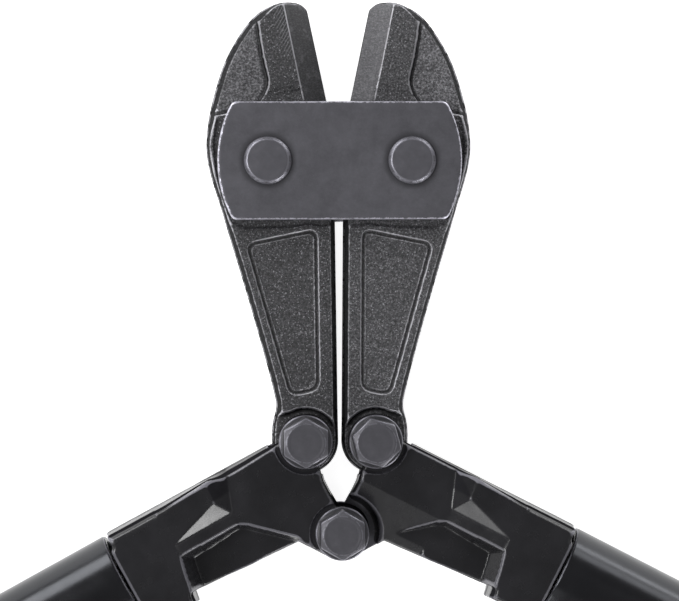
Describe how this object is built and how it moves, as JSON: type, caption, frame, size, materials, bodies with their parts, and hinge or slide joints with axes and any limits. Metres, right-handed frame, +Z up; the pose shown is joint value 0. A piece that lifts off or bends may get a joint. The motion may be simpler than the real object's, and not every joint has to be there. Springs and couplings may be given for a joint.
{
  "type": "bolt cutters",
  "caption": "Bolt cutters: forged jaws pivoted in fishplates, compound handle linkage with hexagon bolts, round tube handles with rubber grips.",
  "frame": {"origin": "on the centre bolt's axis, at the flat surface that the tool lies on", "axes": "+Y toward the jaws along the tool, +Z up out of the front fishplate, +X toward the right handle"},
  "size_m": [0.879, 0.3857, 0.039],
  "materials": {
    "jaw_steel": "black-oxide forging skin with ground bevels and worn bright edges",
    "plate_steel": "smooth dark steel, edges worn bright",
    "rivet_steel": "smooth dark steel with a turned chamfer",
    "head_paint": "black paint, semi-gloss, over a forging",
    "bolt_steel": "dark phosphated steel, satin",
    "washer_zinc": "plain steel, satin",
    "tube_paint": "black paint, gloss",
    "grip_rubber": "ribbed, matt",
    "cap_plastic": "fine texture, matt"
  },
  "bodies": {
    "fishplates": {"front_fishplate": "plate_steel", "rear_fishplate": "plate_steel", "left_jaw_rivet": "rivet_steel", "right_jaw_rivet": "rivet_steel"},
    "left_jaw": {"left_jaw": "jaw_steel"},
    "right_jaw": {"right_jaw": "jaw_steel"},
    "left_handle": {"left_handle_head": "head_paint", "left_link_bolt": "bolt_steel", "left_link_washer": "washer_zinc", "left_link_nut": "bolt_steel", "centre_bolt": "bolt_steel", "centre_washer": "washer_zinc", "centre_nut": "bolt_steel", "left_tube": "tube_paint", "left_tube_pin": "bolt_steel", "left_grip": "grip_rubber", "left_end_cap": "cap_plastic"},
    "right_handle": {"right_handle_head": "head_paint", "right_link_bolt": "bolt_steel", "right_link_washer": "washer_zinc", "right_link_nut": "bolt_steel", "right_tube": "tube_paint", "right_tube_pin": "bolt_steel", "right_grip": "grip_rubber", "right_end_cap": "cap_plastic"}
  },
  "joints": [
    {"name": "left_jaw_pivot", "type": "hinge", "parent": "fishplates", "child": "left_jaw", "pos_m": [-0.02164, 0.11046, 0.01952], "axis": [0, 0, 1], "range_deg": [-11.6, 0]},
    {"name": "right_jaw_pivot", "type": "hinge", "parent": "fishplates", "child": "right_jaw", "pos_m": [0.02107, 0.11046, 0.01952], "axis": [0, 0, 1], "range_deg": [0, 11.6]},
    {"name": "left_handle_fold", "type": "hinge", "parent": "left_jaw", "child": "left_handle", "pos_m": [-0.01069, 0.02718, 0.01952], "axis": [0, 0, 1], "range_deg": [0, 55.68]},
    {"name": "right_handle_fold", "type": "hinge", "parent": "right_jaw", "child": "right_handle", "pos_m": [0.01012, 0.02718, 0.01952], "axis": [0, 0, 1], "range_deg": [-55.68, 0]}
  ],
  "couplings": [
    {"joint": "left_jaw_pivot", "follows": "left_handle_fold", "ratio": -0.20833},
    {"joint": "right_jaw_pivot", "follows": "left_handle_fold", "ratio": 0.20833},
    {"joint": "right_handle_fold", "follows": "left_handle_fold", "ratio": -1}
  ]
}
